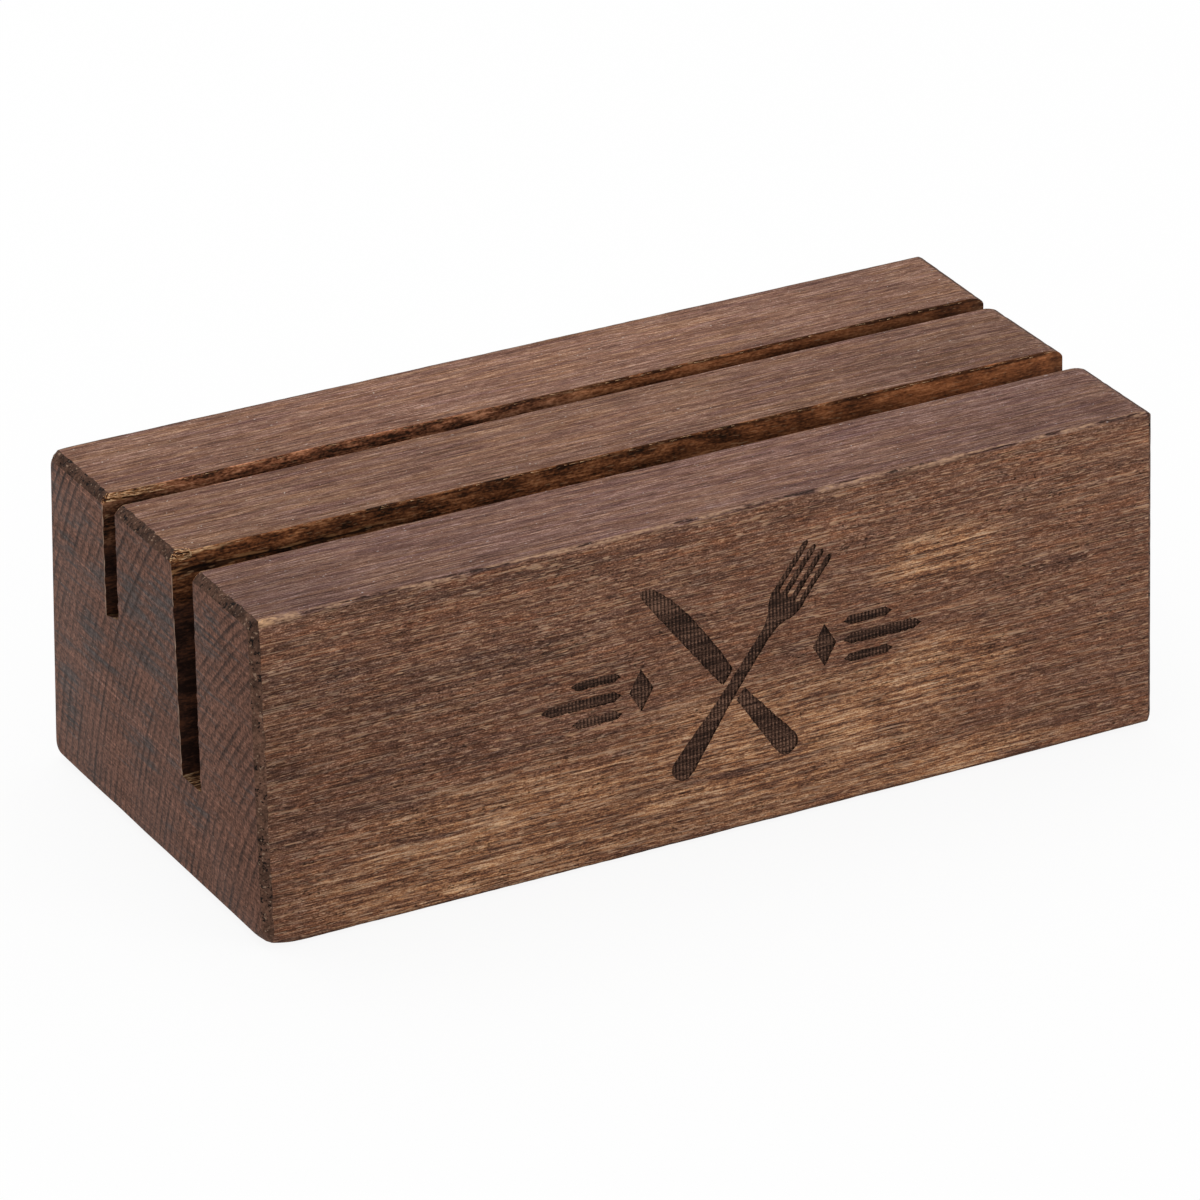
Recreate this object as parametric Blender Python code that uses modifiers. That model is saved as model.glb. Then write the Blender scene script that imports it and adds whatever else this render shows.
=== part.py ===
"""A wooden menu holder: one block of stained hardwood with two card slots, on four rubber feet.

Lengths are in metres, with +Z up. The origin lies on the table under the middle of the block, +X runs along
the slots, and the front face looks towards -Y.
"""

import bmesh
import bpy
from mathutils import Matrix, Vector

MM = 0.001

# The block
BLOCK_LENGTH = 150.0 * MM
BLOCK_HEIGHT = 51.0 * MM
# The two slots part the top into a back, a middle and a front cheek of one width.
CHEEK_WIDTH = 18.8 * MM
# The front and back faces slope: each runs out this far from the top to the base.
FACE_SLOPE = 2.2 * MM
EDGE_EASE = 1.0 * MM

# The rear slot, straight-sided, for a thin card
REAR_SLOT_WIDTH = 4.2 * MM
REAR_SLOT_DEPTH = 19.3 * MM

# The front slot, for a thick menu: it leans forward and narrows a little towards its floor
FRONT_SLOT_WIDTH = 7.0 * MM
FRONT_SLOT_FLOOR_WIDTH = 6.2 * MM
FRONT_SLOT_DEPTH = 34.8 * MM
FRONT_SLOT_LEAN = 1.1 * MM

# The feet, each glued in a drilled seat under the block
FOOT_DIAMETER = 12.0 * MM
FOOT_STANDOUT = 0.6 * MM
FOOT_RIM_ROUND = 0.4 * MM
FOOT_SEAT_DEPTH = 1.5 * MM
FOOT_SIDE_CLEARANCE = 0.3 * MM
FOOT_GLUE_LINE = 0.3 * MM
# From the base's edges to a foot's middle
FOOT_INSET = 14.0 * MM

# How far a cutter runs past the faces that it opens
CUT_OVERRUN = 3.0 * MM
EASE_SEGMENTS = 2
ROUND_SEGMENTS = 48

# Sizes that follow from those above
TOP_DEPTH = 3 * CHEEK_WIDTH + REAR_SLOT_WIDTH + FRONT_SLOT_WIDTH
BASE_DEPTH = TOP_DEPTH + 2 * FACE_SLOPE
BASE_Z = FOOT_STANDOUT
TOP_Z = BASE_Z + BLOCK_HEIGHT
REAR_SLOT_Y = TOP_DEPTH / 2 - CHEEK_WIDTH - REAR_SLOT_WIDTH / 2
FRONT_SLOT_Y = -TOP_DEPTH / 2 + CHEEK_WIDTH + FRONT_SLOT_WIDTH / 2
FOOT_HEIGHT = FOOT_SEAT_DEPTH - FOOT_GLUE_LINE + FOOT_STANDOUT
FOOT_SEAT_DIAMETER = FOOT_DIAMETER + 2 * FOOT_SIDE_CLEARANCE
FOOT_X = BLOCK_LENGTH / 2 - FOOT_INSET
FOOT_Y = BASE_DEPTH / 2 - FOOT_INSET
FOOT_SPOTS = {
    "front_left": (-FOOT_X, -FOOT_Y),
    "front_right": (FOOT_X, -FOOT_Y),
    "back_left": (-FOOT_X, FOOT_Y),
    "back_right": (FOOT_X, FOOT_Y),
}

STAINED_WOOD_COLOUR = (0.135, 0.066, 0.042, 1.0)
STAINED_WOOD_ROUGHNESS = 0.6
RUBBER_COLOUR = (0.022, 0.019, 0.017, 1.0)
RUBBER_ROUGHNESS = 0.8


def clear_scene():
    for obj in list(bpy.data.objects):
        bpy.data.objects.remove(obj, do_unlink=True)


def new_collection(name):
    collection = bpy.data.collections.new(name)
    bpy.context.scene.collection.children.link(collection)
    return collection


def principled(name, colour, roughness):
    material = bpy.data.materials.new(name)
    material.use_nodes = True
    shader = material.node_tree.nodes["Principled BSDF"]
    shader.inputs["Base Color"].default_value = colour
    shader.inputs["Roughness"].default_value = roughness
    shader.inputs["Metallic"].default_value = 0.0
    return material


def object_from(name, shape, collection, location=(0.0, 0.0, 0.0)):
    """A mesh object made from a bmesh, which it uses up."""
    mesh = bpy.data.meshes.new(name)
    shape.to_mesh(mesh)
    shape.free()
    obj = bpy.data.objects.new(name, mesh)
    obj.location = location
    collection.objects.link(obj)
    return obj


def box(size):
    """A cube primitive of this size about the origin, with its scale in the mesh."""
    shape = bmesh.new()
    bmesh.ops.create_cube(shape, size=1.0, matrix=Matrix.Diagonal((*size, 1.0)))
    return shape


def disc(diameter, height):
    """A round primitive of this size about the origin, with its axis along Z."""
    shape = bmesh.new()
    bmesh.ops.create_cone(
        shape,
        cap_ends=True,
        segments=ROUND_SEGMENTS,
        radius1=diameter / 2,
        radius2=diameter / 2,
        depth=height,
    )
    return shape


def as_cutter(obj):
    obj.hide_render = True
    obj.display_type = "WIRE"
    return obj


def slot_cutter(name, mouth_y, mouth_width, floor_y, floor_width, depth, collection):
    """A long wedge whose sides pass through the slot's mouth at the top and through its floor."""
    shape = box((BLOCK_LENGTH + 2 * CUT_OVERRUN, 1.0, 1.0))
    for vert in shape.verts:
        below_top = depth if vert.co.z < 0 else -CUT_OVERRUN
        share = below_top / depth
        middle = mouth_y + (floor_y - mouth_y) * share
        width = mouth_width + (floor_width - mouth_width) * share
        vert.co.y = middle + (width / 2 if vert.co.y > 0 else -width / 2)
        vert.co.z = TOP_Z - below_top
    return as_cutter(object_from(name, shape, collection))


def foot_seat_cutter(spot, place, collection):
    shape = disc(FOOT_SEAT_DIAMETER, FOOT_SEAT_DEPTH + CUT_OVERRUN)
    middle_z = BASE_Z + (FOOT_SEAT_DEPTH - CUT_OVERRUN) / 2
    return as_cutter(object_from(f"{spot}_foot_seat", shape, collection, (*place, middle_z)))


def make_cutters(collection):
    rear = slot_cutter(
        "rear_slot",
        REAR_SLOT_Y,
        REAR_SLOT_WIDTH,
        REAR_SLOT_Y,
        REAR_SLOT_WIDTH,
        REAR_SLOT_DEPTH,
        collection,
    )
    front = slot_cutter(
        "front_slot",
        FRONT_SLOT_Y,
        FRONT_SLOT_WIDTH,
        FRONT_SLOT_Y - FRONT_SLOT_LEAN,
        FRONT_SLOT_FLOOR_WIDTH,
        FRONT_SLOT_DEPTH,
        collection,
    )
    seats = [foot_seat_cutter(spot, place, collection) for spot, place in FOOT_SPOTS.items()]
    return [rear, front, *seats]


def make_block(collection, cutters):
    """The sloping, eased block, with the slots and the foot seats cut out of it."""
    shape = box((BLOCK_LENGTH, TOP_DEPTH, BLOCK_HEIGHT))
    for vert in shape.verts:
        if vert.co.z < 0:
            vert.co.y += FACE_SLOPE if vert.co.y > 0 else -FACE_SLOPE
    bmesh.ops.translate(shape, vec=Vector((0.0, 0.0, BASE_Z + BLOCK_HEIGHT / 2)), verts=shape.verts)
    block = object_from("slotted_block", shape, collection)
    block.data.materials.append(principled("Stained wood", STAINED_WOOD_COLOUR, STAINED_WOOD_ROUGHNESS))
    ease = block.modifiers.new("Eased edges", "BEVEL")
    ease.width = EDGE_EASE
    ease.segments = EASE_SEGMENTS
    ease.limit_method = "NONE"
    for cutter in cutters:
        cut = block.modifiers.new(f"Cut {cutter.name}", "BOOLEAN")
        cut.operation = "DIFFERENCE"
        cut.solver = "EXACT"
        cut.object = cutter
    return block


def make_foot(spot, place, collection, rubber):
    """A rubber disc with rounded rims, standing on the table."""
    shape = disc(FOOT_DIAMETER, FOOT_HEIGHT)
    foot = object_from(f"foot_{spot}", shape, collection, (*place, FOOT_HEIGHT / 2))
    foot.data.materials.append(rubber)
    foot.data.shade_smooth()
    rim = foot.modifiers.new("Rounded rims", "BEVEL")
    rim.width = FOOT_RIM_ROUND
    rim.segments = EASE_SEGMENTS
    rim.limit_method = "ANGLE"
    return foot


def main():
    clear_scene()
    parts = new_collection("Wooden menu holder")
    cutters = new_collection("Cutters")
    cutters.hide_render = True
    holder = bpy.data.objects.new("menu_holder", None)
    parts.objects.link(holder)
    pieces = [make_block(parts, make_cutters(cutters))]
    rubber = principled("Rubber", RUBBER_COLOUR, RUBBER_ROUGHNESS)
    for spot, place in FOOT_SPOTS.items():
        pieces.append(make_foot(spot, place, parts, rubber))
    for piece in pieces:
        piece.parent = holder


main()
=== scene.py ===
"""Looks of the wooden menu holder: a stained block with two sawn card slots, engraved cutlery on its front,
and four rubber feet. Shapes are written in millimetres and turned into metres when their mesh is made.
"""

import math

import bmesh
import bpy
from mathutils import Matrix, Vector, geometry, noise


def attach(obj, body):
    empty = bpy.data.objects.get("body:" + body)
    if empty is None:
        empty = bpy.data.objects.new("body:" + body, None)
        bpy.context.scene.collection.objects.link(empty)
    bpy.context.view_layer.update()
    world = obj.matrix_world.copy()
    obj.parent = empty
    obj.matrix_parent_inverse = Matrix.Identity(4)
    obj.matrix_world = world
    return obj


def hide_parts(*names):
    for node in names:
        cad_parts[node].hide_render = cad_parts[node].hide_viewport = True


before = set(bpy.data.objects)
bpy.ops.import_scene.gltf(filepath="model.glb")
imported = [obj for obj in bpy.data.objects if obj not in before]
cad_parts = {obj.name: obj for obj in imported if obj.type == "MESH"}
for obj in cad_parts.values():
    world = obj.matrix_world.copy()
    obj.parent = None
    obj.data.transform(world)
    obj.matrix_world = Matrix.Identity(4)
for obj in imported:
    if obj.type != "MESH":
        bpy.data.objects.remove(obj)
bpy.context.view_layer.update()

MM = 0.001
FULL_TURN = 2 * math.pi
COLLECTION = bpy.context.scene.collection

# The block, as its solid has it
LENGTH = 150
LEFT_END = -LENGTH / 2
RIGHT_END = LENGTH / 2
BASE_Z = 0.6
TOP_Z = 51.6
TOP_HALF_DEPTH = 33.8
BASE_HALF_DEPTH = 36
# The front and the rear slot: the walls at the mouth and at the floor, and the floor's height
FRONT_MOUTH = (-15, -8)
FRONT_FLOOR = (-15.7, -9.5)
FRONT_FLOOR_Z = 16.8
REAR_MOUTH = (10.8, 15)
REAR_FLOOR_Z = 32.3

# How far the chamfers round each end run along the block, and in from the top, front, back and base
LEFT_CHAMFER = (1.3, 1.25, 1.2, 1, 1)
RIGHT_CHAMFER = (0.85, 0.75, 0.85, 0.5, 1.6)
CHAMFER_ROUND = 0.5

# The heart of the tree lay below and in front of the block; the growth rings run round it.
HEART_Y = -88
HEART_Z = -20.5
RING_WIDTH = 1.8
# The rings lie close at this radius, and wide and close again once in so many millimetres.
LEAN_RADIUS = 95
GOOD_YEARS = 54

FEET = {
    "foot_front_left": (-61, -22),
    "foot_front_right": (61, -22),
    "foot_back_left": (-61, 22),
    "foot_back_right": (61, 22),
}
FOOT_RADIUS = 6
FOOT_HEIGHT = 1.8
SEAT_RADIUS = 6.3
SEAT_DEPTH = 1.5
ROUND_STEPS = 64


class Nodes:
    """A node tree, built node by node."""

    def __init__(self, tree):
        self.tree = tree

    def join(self, value, socket):
        """Links a socket, or sets a constant."""
        if isinstance(value, bpy.types.NodeSocket):
            self.tree.links.new(value, socket)
        else:
            socket.default_value = value

    def node(self, kind, *values, named=None, **settings):
        """A new node with these settings. Values go to its first inputs in turn, or to the inputs named."""
        made = self.tree.nodes.new(kind)
        for key, value in settings.items():
            setattr(made, key, value)
        for value, socket in zip(values, made.inputs):
            self.join(value, socket)
        for key, value in (named or {}).items():
            self.join(value, made.inputs[key])
        return made

    def math(self, operation, *values):
        return self.node("ShaderNodeMath", *values, operation=operation).outputs[0]

    def times(self, product, *factors):
        for factor in factors:
            product = self.math("MULTIPLY", product, factor)
        return product

    def times_plus(self, first, second, third):
        return self.math("MULTIPLY_ADD", first, second, third)

    def plus(self, first, second):
        return self.math("ADD", first, second)

    def minus(self, first, second):
        return self.math("SUBTRACT", first, second)

    def most(self, first, second):
        return self.math("MAXIMUM", first, second)

    def combine(self, x, y, z):
        return self.node("ShaderNodeCombineXYZ", x, y, z).outputs[0]


class Finish(Nodes):
    """One procedural material, whose colour is built up in turn. Its place is in millimetres."""

    def __init__(self, name):
        self.material = bpy.data.materials.new(name)
        self.material.use_nodes = True
        super().__init__(self.material.node_tree)
        self.colour = None
        where = self.node("ShaderNodeTexCoord").outputs["Object"]
        self.place = self.vector("SCALE", where, scale=1 / MM)
        self.x, self.y, self.z = self.node("ShaderNodeSeparateXYZ", self.place).outputs

    def vector(self, operation, *values, scale=None):
        named = {} if scale is None else {"Scale": scale}
        return self.node("ShaderNodeVectorMath", *values, operation=operation, named=named).outputs[0]

    def noise(self, size, seed, detail=2, rough=0.5, at=None):
        """Soft noise from 0 to 1. Size is its length, or its length along x and across, or in x, y and z."""
        lengths = size if isinstance(size, tuple) else (size,)
        shares = [1 / lengths[min(axis, len(lengths) - 1)] for axis in range(3)]
        where = self.vector("MULTIPLY", at or self.place, shares)
        where = self.vector("ADD", where, (seed, seed * 1.7, -seed * 0.6))
        values = {"Vector": where, "Scale": 1, "Detail": detail, "Roughness": rough}
        return self.node("ShaderNodeTexNoise", named=values).outputs["Fac"]

    def step(self, value, low, high, to_low=0, to_high=1, kind="SMOOTHSTEP"):
        """A smooth rise between two values."""
        values = (value, low, high, to_low, to_high)
        return self.node("ShaderNodeMapRange", *values, interpolation_type=kind).outputs[0]

    def stretch(self, value, low, high, to_low=0, to_high=1):
        """A straight rise between two values."""
        return self.step(value, low, high, to_low, to_high, "LINEAR")

    def marks(self, size, seed, low, high, detail=0, rough=0.5, at=None):
        """0 where the noise is under the lower value, rising to 1 at the higher."""
        return self.step(self.noise(size, seed, detail, rough, at), low, high)

    def near(self, value, target, far, close):
        """1 where a value is close to a target, falling to 0 where it is far."""
        return self.step(self.math("ABSOLUTE", self.minus(value, target)), far, close)

    def spot(self, across, up, middle, reach):
        """1 in the middle of a soft oval, falling to 0 at its rim."""
        u = self.math("DIVIDE", self.minus(across, middle[0]), reach[0])
        v = self.math("DIVIDE", self.minus(up, middle[1]), reach[1])
        return self.step(self.plus(self.times(u, u), self.times(v, v)), 1, 0)

    def spots(self, across, up, ovals):
        """The strongest of several soft ovals."""
        strongest = 0
        for middle, reach in ovals:
            strongest = self.most(self.spot(across, up, middle, reach), strongest)
        return strongest

    def away(self, y, z):
        """The distance from a line along X through y and z."""
        u, v = self.minus(self.y, y), self.minus(self.z, z)
        return self.math("SQRT", self.plus(self.times(u, u), self.times(v, v)))

    def near_line(self, y, z, reach):
        """1 on a line along X through y and z, falling to 0 at its reach."""
        return self.step(self.away(y, z), reach, 0)

    def ramp(self, value, *stops):
        made = self.node("ShaderNodeValToRGB", value)
        elements = made.color_ramp.elements
        while len(elements) < len(stops):
            elements.new(1)
        for element, (position, *colour) in zip(elements, stops):
            element.position = position
            element.color = (*colour, 1)
        return made.outputs[0]

    def mix(self, share, first, second, blend="MIX"):
        """Colours mixed, from the first to the second."""
        first, second = ((*value, 1) if isinstance(value, tuple) else value for value in (first, second))
        values = {0: share, 6: first, 7: second}
        return self.node("ShaderNodeMix", data_type="RGBA", blend_type=blend, named=values).outputs[2]

    def scaled(self, colour, amount):
        """A colour made darker or lighter by an amount."""
        return self.vector("SCALE", colour, scale=amount)

    def lay(self, colour, *shares):
        """Lays a colour on, as far as the product of the shares says."""
        self.colour = self.mix(self.times(*shares), self.colour, colour)

    def dye(self, tint, share=1):
        """Multiplies the colour by a tint, as far as the share says."""
        self.colour = self.mix(share, self.colour, tint, "MULTIPLY")

    def scale(self, amount):
        self.colour = self.scaled(self.colour, amount)

    def fade(self, share, start, end):
        """Scales the colour by a start where the share is 0, and by an end where it is 1."""
        self.scale(self.stretch(share, 0, 1, start, end))

    def mottle(self, value, low, high):
        """Scales the colour by noise."""
        self.scale(self.stretch(value, 0.3, 0.7, low, high))

    def done(self, roughness, height, depth, specular=0.35):
        """The finished material, with relief of this depth in millimetres."""
        values = {"Strength": 1, "Distance": depth * MM, "Height": height}
        values = {
            "Base Color": self.colour,
            "Roughness": roughness,
            "Specular IOR Level": specular,
            "Normal": self.node("ShaderNodeBump", named=values).outputs[0],
        }
        for key, value in values.items():
            self.join(value, self.tree.nodes["Principled BSDF"].inputs[key])
        return self.material


# The dark of open pores, also used for the painted shadow under the crisp pale lines
PORE_AND_SHADOW_COLOUR = (0.026, 0.012, 0.008)


class Grain:
    """The block's timber: marks of six lengths along X, which waver up and down, or across where level."""

    def __init__(self, finish, level=False):
        f = self.f = finish
        sway = f.stretch(f.noise((80, 18), 3.1, 1), 0, 1, -0.7, 0.5)
        sway = f.times_plus(f.noise((15, 4), 6.4, 1), 0.6, sway)
        offset = f.combine(0, sway, 0) if level else f.combine(0, 0, sway)
        self.along = f.vector("ADD", f.place, offset)
        self.dashes = self.marks((1.3, 0.18), 13, 0.36, 0.64)
        fibres = self.marks((4.2, 0.18), 29, 0.36, 0.64)
        self.kinds = (
            self.noise((0.3, 0.18), 2.7),
            self.dashes,
            fibres,
            self.marks((10, 0.2), 37, 0.36, 0.64),
            self.noise((13, 0.65), 5.2, 2),
            self.noise((95, 3.4), 1.3, 2),
        )
        self.relief = f.plus(self.dashes, fibres)

    def noise(self, size, seed, detail=0):
        return self.f.noise(size, seed, detail, at=self.along)

    def marks(self, size, seed, low, high, detail=0, rough=0.5):
        return self.f.marks(size, seed, low, high, detail, rough, self.along)

    def tone(self, *weights):
        """About 0.5, moved by each kind of mark, the shortest first, as far as its weight says."""
        total = 0.5 - 0.5 * sum(weights)
        for mark, weight in zip(self.kinds, weights):
            total = self.f.times_plus(mark, weight, total)
        return total

    def tint(self, amount):
        """Swings the colour between warm and cool from fibre to fibre."""
        warm, cool = ([1 + swing * part for part in (0.5, -0.1, -0.9)] for swing in (amount, -amount))
        swing = self.f.stretch(self.noise((2.2, 0.22), 87), 0.3, 0.7)
        self.f.dye(self.f.mix(swing, tuple(warm), tuple(cool)))

    def thin_lines(self, pale):
        """Lays on the few crisp lines: pale broken ones, a painted highlight, each over a dark one, their
        painted shadow, and open pores.
        """
        f = self.f
        line = (11, 0.2)
        under = f.vector("ADD", self.along, (0, 0.2, 0.2))
        broken = self.marks((1.6, 0.5), 93, 0.38, 0.54)
        # Painted shadow under each pale line, then the pale lines as painted highlight, then the real pores
        f.lay(PORE_AND_SHADOW_COLOUR, f.marks(line, 91, 0.61, 0.7, at=under), broken, 0.55)
        f.lay(pale, self.marks(line, 91, 0.61, 0.69), broken, 0.62)
        ends = self.marks((0.9, 0.5), 99, 0.4, 0.56)
        f.lay(PORE_AND_SHADOW_COLOUR, self.marks(line, 97, 0.64, 0.73), ends, 0.6)


def worn_edge_and_painted_light(f):
    """Lays pale worn lengths, partly painted highlight, and dark chipped ones, partly painted shade, along
    the edge between the top and the front.
    """
    rub = f.plus(f.noise((7, 0.8), 50, 2, 0.6), f.step(f.x, -66, -69, 0, 0.25))
    fray = f.noise((0.8, 0.3), 55, 1)
    wide = f.step(f.x, -66, -70, 0.75, 1.3)
    rubbed = f.mix(f.step(f.x, -70, -73), (0.46, 0.28, 0.175), (0.64, 0.38, 0.21))
    near = f.near_line(-TOP_HALF_DEPTH, TOP_Z - 0.2, wide)
    f.lay(rubbed, near, f.step(rub, 0.46, 0.56), f.stretch(fray, 0.3, 0.65, 0.1, 1))
    near = f.near_line(-TOP_HALF_DEPTH, TOP_Z, 0.72)
    f.lay((0.012, 0.008, 0.007), near, f.step(rub, 0.5, 0.44), f.stretch(fray, 0.36, 0.52, 0.1, 1))


# Where the top took less stain, and where more: the middle of each oval in x and y, and how far it reaches
TOP_PALE_SPOTS = (((5, -24), (52, 16)), ((2, 25), (60, 13)), ((0, 1), (30, 6)))
TOP_DARK_SPOTS = (((66, 0), (26, 12)), ((-74, -26), (22, 12)))


def top_wood():
    f = Finish("planed_top")
    grain = Grain(f, level=True)
    f.colour = f.ramp(
        grain.tone(0.7, 0.25, 0.32, 0.32, 0.5, 0.35),
        (0, 0.06, 0.026, 0.017), (0.25, 0.109, 0.051, 0.035),
        (0.5, 0.161, 0.081, 0.056), (0.75, 0.231, 0.124, 0.087),
        (1, 0.38, 0.238, 0.18),
    )
    f.dye((1.14, 1.12, 0.96), grain.marks((15, 1), 17, 0.44, 0.62, 3, 0.55))
    f.dye((0.86, 0.83, 0.92), grain.marks((19, 1.3), 11, 0.48, 0.66, 3, 0.55))
    plain = f.colour
    grain.thin_lines((0.37, 0.23, 0.15))
    f.colour = f.mix(0.65, plain, f.colour)
    f.fade(f.spots(f.x, f.y, TOP_PALE_SPOTS), 0.97, 1.13)
    f.fade(f.spots(f.x, f.y, TOP_DARK_SPOTS), 1, 0.87)
    grain.tint(0.05)
    f.lay((0.55, 0.47, 0.41), f.marks((0.6, 0.28), 41, 0.82, 0.86), 0.8)
    f.scale(f.stretch(f.y, -34, 34, 0.92, 1.22))
    f.dye((0.98, 0.99, 1.09), f.step(f.y, -8, -15))
    worn_edge_and_painted_light(f)
    # Painted shade: darker along the rounded back edge of the top
    f.fade(f.near_line(TOP_HALF_DEPTH, TOP_Z, 1.3), 1, 0.2)
    # Painted shade: darker just before the right end's chamfer
    end = RIGHT_END - RIGHT_CHAMFER[0]
    f.scale(f.step(f.x, end - 0.5, end, 1, 0.35))
    chip(f)
    return f.done(0.65, grain.relief, 0.012, 0.05)


# Where the sides show golden sapwood: the middle of each oval in x and z, and how far it reaches
GOLDEN_SPOTS = (
    ((-28, 9), (52, 14)), ((-44, 4), (30, 8)), ((8, 12), (42, 15)),
    ((38, 36), (15, 6.5)), ((36, 18), (20, 8)), ((38, 3), (30, 5)),
)
# Where they took more stain
SIDE_DARK_SPOTS = (((-70, 31), (24, 14)),)


def side_wood():
    f = Finish("stained_side")
    grain = Grain(f)
    tone = f.minus(grain.tone(0.98, 0.31, 0.21, 0.11, 0.2, 0.25), 0.5)
    f.colour = f.ramp(
        f.times_plus(tone, f.stretch(f.x, -20, 40, 1, 0.82), 0.5),
        (0, 0.04, 0.0175, 0.011), (0.25, 0.08, 0.036, 0.0228),
        (0.5, 0.122, 0.057, 0.037), (0.75, 0.185, 0.091, 0.06),
        (1, 0.365, 0.212, 0.145),
    )
    f.dye((1.23, 1.1, 0.97), grain.marks((14, 0.7), 17, 0.5, 0.64, 2))
    golden = grain.marks((50, 2.4), 61, 0.27, 0.45, 2)
    golden = f.times(golden, f.most(f.spots(f.x, f.z, GOLDEN_SPOTS), 0.12))
    ribbon = f.times(f.minus(grain.noise((12, 0.6), 67, 2), 0.5), 1.7)
    sapwood = f.ramp(
        f.plus(ribbon, grain.tone(0.7, 0.27, 0.26, 0.19, 0, 0)),
        (0, 0.062, 0.028, 0.0175), (0.3, 0.141, 0.062, 0.036),
        (0.55, 0.272, 0.125, 0.062), (0.8, 0.43, 0.23, 0.12),
        (1, 0.605, 0.38, 0.228),
    )
    f.lay(sapwood, golden)
    dull = grain.marks((32, 2.4), 11, 0.5, 0.6, 1)
    dull = f.times(dull, f.step(f.x, 30, -30, 0.45, 1), f.minus(1, golden))
    f.dye((0.78, 0.82, 0.88), dull)
    f.fade(dull, 1.05, 0.97)
    grain.thin_lines((0.385, 0.235, 0.145))
    flecks = grain.marks((0.7, 0.24), 43, 0.66, 0.74)
    f.fade(f.times(flecks, f.marks((9, 4), 47, 0.46, 0.62, 1)), 1, 0.35)
    # Painted highlights: short pale glints along the fibres
    f.lay((0.465, 0.285, 0.18), grain.marks((1.7, 0.18), 53, 0.69, 0.76), 0.65)
    grain.tint(0.1)
    f.scale(f.stretch(f.x, LEFT_END, RIGHT_END, 0.96, 1.06))
    f.scale(f.stretch(f.z, 38, 47, 1, 1.08))
    f.fade(f.spots(f.x, f.z, SIDE_DARK_SPOTS), 1, 0.86)
    worn_edge_and_painted_light(f)
    # Painted shade: darker along the front and back edges of the base, by the floor
    for y in (-BASE_HALF_DEPTH, BASE_HALF_DEPTH):
        f.fade(f.near_line(y, BASE_Z, 0.8), 1, 0.3)
    return f.done(0.65, grain.relief, 0.02, 0.05)


# Where the left end took the stain darker and greyer: the middle of each oval in y and z, and its reach
END_STAINS = (
    ((17.2, 38.8), (6, 3.5)), ((0, 40), (12, 8.5)), ((-19, 44), (6.5, 6.5)),
    ((19.5, 25), (7, 8)), ((-3, 31), (9, 4.5)), ((3, 15.5), (9, 3.5)),
    ((-14, 13), (11, 3.5)), ((28.5, 13), (6, 8)),
)


def late_wood(f):
    """1 in the dark later part of each growth ring, with some years fainter than others."""
    warp = f.stretch(f.noise(16, 4, 1), 0, 1, -0.6, 0.6)
    warp = f.times_plus(f.noise(0.9, 8, 1), 0.35, warp)
    radius = f.plus(f.away(HEART_Y, HEART_Z), warp)
    swing = FULL_TURN / GOOD_YEARS
    season = f.math("SINE", f.times_plus(radius, swing, -swing * LEAN_RADIUS))
    years = f.times_plus(season, 0.6, f.math("DIVIDE", radius, RING_WIDTH))
    ring = f.math("FRACT", years)
    year = f.node("ShaderNodeTexWhiteNoise", noise_dimensions="1D", named={"W": f.math("FLOOR", years)})
    return f.times(
        f.step(ring, 0.4, 0.8),
        f.step(ring, 1, 0.91),
        f.step(f.noise((9, 9, 7), 6), 0.34, 0.6, 0.45, 1),
        f.stretch(year.outputs["Value"], 0, 1, 0.6, 1),
    )


def end_wood():
    f = Finish("sawn_end_grain")
    stain = f.times(f.spots(f.y, f.z, END_STAINS), f.step(f.x, 10, -10))
    cloud = f.times(f.noise((20, 8, 4), 15), 0.5)
    blotch = f.times_plus(f.noise((20, 7, 0.6), 9, 2, 0.6), 0.9, cloud)
    blotch = f.minus(blotch, f.step(f.z, 20, 9, 0, 0.1))
    blotch = f.minus(blotch, f.step(f.y, -15, -19, 0, 0.05))
    blotch = f.step(f.times_plus(stain, 0.17, blotch), 0.67, 0.98)
    f.colour = f.mix(blotch, (0.14, 0.0665, 0.045), (0.072, 0.056, 0.051))
    f.mottle(f.noise((4, 0.35, 2.5), 23, 1), 0.85, 1.18)
    f.lay((0.034, 0.02, 0.016), late_wood(f), 0.92)
    saw = f.noise((4, 14, 0.3), 12, 1, 0.6)
    f.mottle(saw, 0.78, 1.24)
    f.fade(f.marks((4, 30, 0.4), 77, 0.71, 0.78), 1, 1.5)
    speck = f.noise(0.45, 14, 2, 0.6)
    f.mottle(speck, 0.43, 1.61)
    f.lay((0.45, 0.36, 0.3), f.marks(0.34, 19, 0.85, 0.9), 0.7)
    lean = (FRONT_MOUTH[1] - FRONT_FLOOR[1]) / (TOP_Z - FRONT_FLOOR_Z)
    wall = f.times_plus(f.minus(f.z, FRONT_FLOOR_Z), lean, FRONT_FLOOR[1])
    broken = f.marks((1, 0.6, 1.6), 83, 0.36, 0.52, 1)
    # Painted highlights: broken pale lines on the end faces along the slots' rear walls, above their floors
    for edge, floor_z in ((wall, FRONT_FLOOR_Z), (REAR_MOUTH[1], REAR_FLOOR_Z)):
        above = f.math("GREATER_THAN", f.z, floor_z)
        f.lay((0.28, 0.18, 0.125), f.near(f.y, edge, 0.4, 0.1), broken, above)
    # Painted shade: darker at the foot of the end faces, by the floor
    f.scale(f.step(f.z, BASE_Z + 0.2, BASE_Z + 0.9, 0.45, 1))
    return f.done(0.65, f.plus(saw, speck), 0.03, 0.08)


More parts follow.
